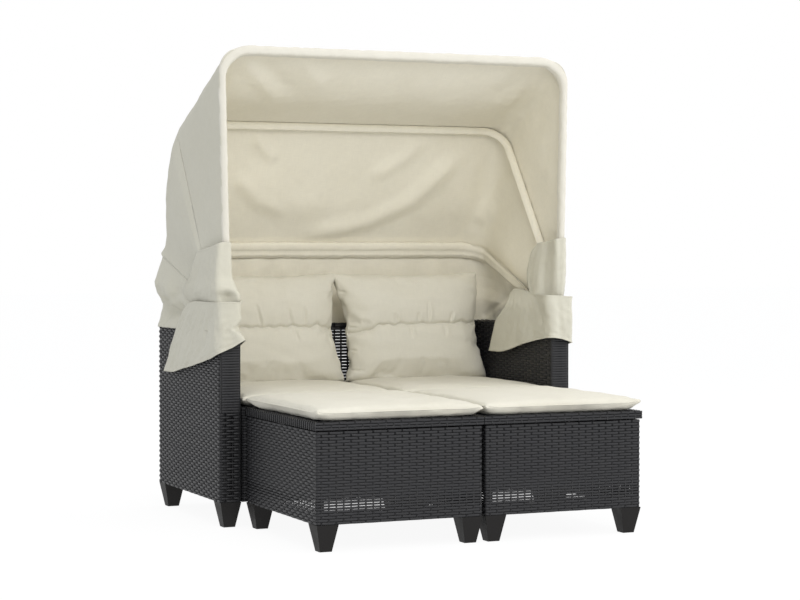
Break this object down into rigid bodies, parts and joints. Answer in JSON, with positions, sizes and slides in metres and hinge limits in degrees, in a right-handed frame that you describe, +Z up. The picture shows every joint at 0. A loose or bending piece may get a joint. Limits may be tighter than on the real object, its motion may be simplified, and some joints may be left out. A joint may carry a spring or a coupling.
{
  "type": "outdoor daybed with canopy",
  "caption": "Outdoor woven daybed for two: a deep sofa with a folding cloth canopy on bent hoops, loose cushions and a pair of woven footstools that extend the seat into a bed.",
  "frame": {"origin": "on the floor, at the centre of the whole set seen from above, with the canopy open and the stools against the seat", "axes": "+Z up, the open front of the sofa and the stools towards -Y, +X to the right seen from the front"},
  "size_m": [1.2454, 1.2808, 1.4584],
  "materials": {
    "rattan": "woven flat resin strand, charcoal, satin",
    "black_steel": "black powder coat",
    "zinc_steel": "zinc plated",
    "foot_plastic": "moulded, dark, matte",
    "canopy_cloth": "woven outdoor cloth, greyish cream, matte",
    "cushion_cloth": "woven cotton-like cloth, warm cream, matte"
  },
  "bodies": {
    "sofa": {"arm_frame_left": "black_steel", "arm_frame_right": "black_steel", "arm_weave_left": "rattan", "arm_weave_right": "rattan", "back_cushion_left": "cushion_cloth", "back_cushion_right": "cushion_cloth", "back_frame": "black_steel", "back_weave": "rattan", "canopy_curtain": "canopy_cloth", "canopy_skirt_left": "canopy_cloth", "canopy_skirt_right": "canopy_cloth", "pivot_bolt_left": "zinc_steel", "pivot_bolt_right": "zinc_steel", "pivot_bracket_left": "black_steel", "pivot_bracket_right": "black_steel", "pivot_nut_left": "zinc_steel", "pivot_nut_right": "zinc_steel", "seat_bolt_front_left": "zinc_steel", "seat_bolt_front_right": "zinc_steel", "seat_bolt_rear_left": "zinc_steel", "seat_bolt_rear_right": "zinc_steel", "seat_cushion_left": "cushion_cloth", "seat_cushion_right": "cushion_cloth", "seat_frame": "black_steel", "seat_weave": "rattan", "sofa_foot_front_left": "foot_plastic", "sofa_foot_front_right": "foot_plastic", "sofa_foot_rear_left": "foot_plastic", "sofa_foot_rear_right": "foot_plastic"},
    "front_hoop_body": {"front_hoop": "black_steel", "canopy_roof": "canopy_cloth"},
    "middle_hoop_body": {"middle_hoop": "black_steel", "canopy_back": "canopy_cloth"},
    "rear_hoop_body": {"rear_hoop": "black_steel"},
    "stool_left_body": {"stool_cushion_left": "cushion_cloth", "stool_frame_left": "black_steel", "stool_left_bolt_left": "zinc_steel", "stool_left_bolt_right": "zinc_steel", "stool_left_foot_front_left": "foot_plastic", "stool_left_foot_front_right": "foot_plastic", "stool_left_foot_rear_left": "foot_plastic", "stool_left_foot_rear_right": "foot_plastic", "stool_top_frame_left": "black_steel", "stool_top_weave_left": "rattan", "stool_weave_left": "rattan"},
    "stool_right_body": {"stool_cushion_right": "cushion_cloth", "stool_frame_right": "black_steel", "stool_right_bolt_left": "zinc_steel", "stool_right_bolt_right": "zinc_steel", "stool_right_foot_front_left": "foot_plastic", "stool_right_foot_front_right": "foot_plastic", "stool_right_foot_rear_left": "foot_plastic", "stool_right_foot_rear_right": "foot_plastic", "stool_top_frame_right": "black_steel", "stool_top_weave_right": "rattan", "stool_weave_right": "rattan"}
  },
  "joints": [
    {"name": "front_hoop_fold", "type": "hinge", "parent": "sofa", "child": "front_hoop_body", "pos_m": [0, -0.0184, 0.63], "axis": [-1, 0, 0], "range_deg": [0, 81], "deforming": ["canopy_skirt_left", "canopy_skirt_right"]},
    {"name": "middle_hoop_fold", "type": "hinge", "parent": "front_hoop_body", "child": "middle_hoop_body", "pos_m": [0, -0.0184, 0.63], "axis": [-1, 0, 0], "range_deg": [-31.3, 0.1], "deforming": ["canopy_roof"]},
    {"name": "rear_hoop_fold", "type": "hinge", "parent": "middle_hoop_body", "child": "rear_hoop_body", "pos_m": [0, -0.0184, 0.63], "axis": [-1, 0, 0], "range_deg": [-31.9, 0.1], "deforming": ["canopy_back", "canopy_curtain"]},
    {"name": "stool_left_slide", "type": "slide", "parent": "sofa", "child": "stool_left_body", "axis": [0, -1, 0], "range_m": [0, 0.45]},
    {"name": "stool_right_slide", "type": "slide", "parent": "sofa", "child": "stool_right_body", "axis": [0, -1, 0], "range_m": [0, 0.45]}
  ],
  "couplings": [
    {"joint": "middle_hoop_fold", "follows": "front_hoop_fold", "ratio": -0.38519},
    {"joint": "rear_hoop_fold", "follows": "front_hoop_fold", "ratio": -0.39259}
  ]
}
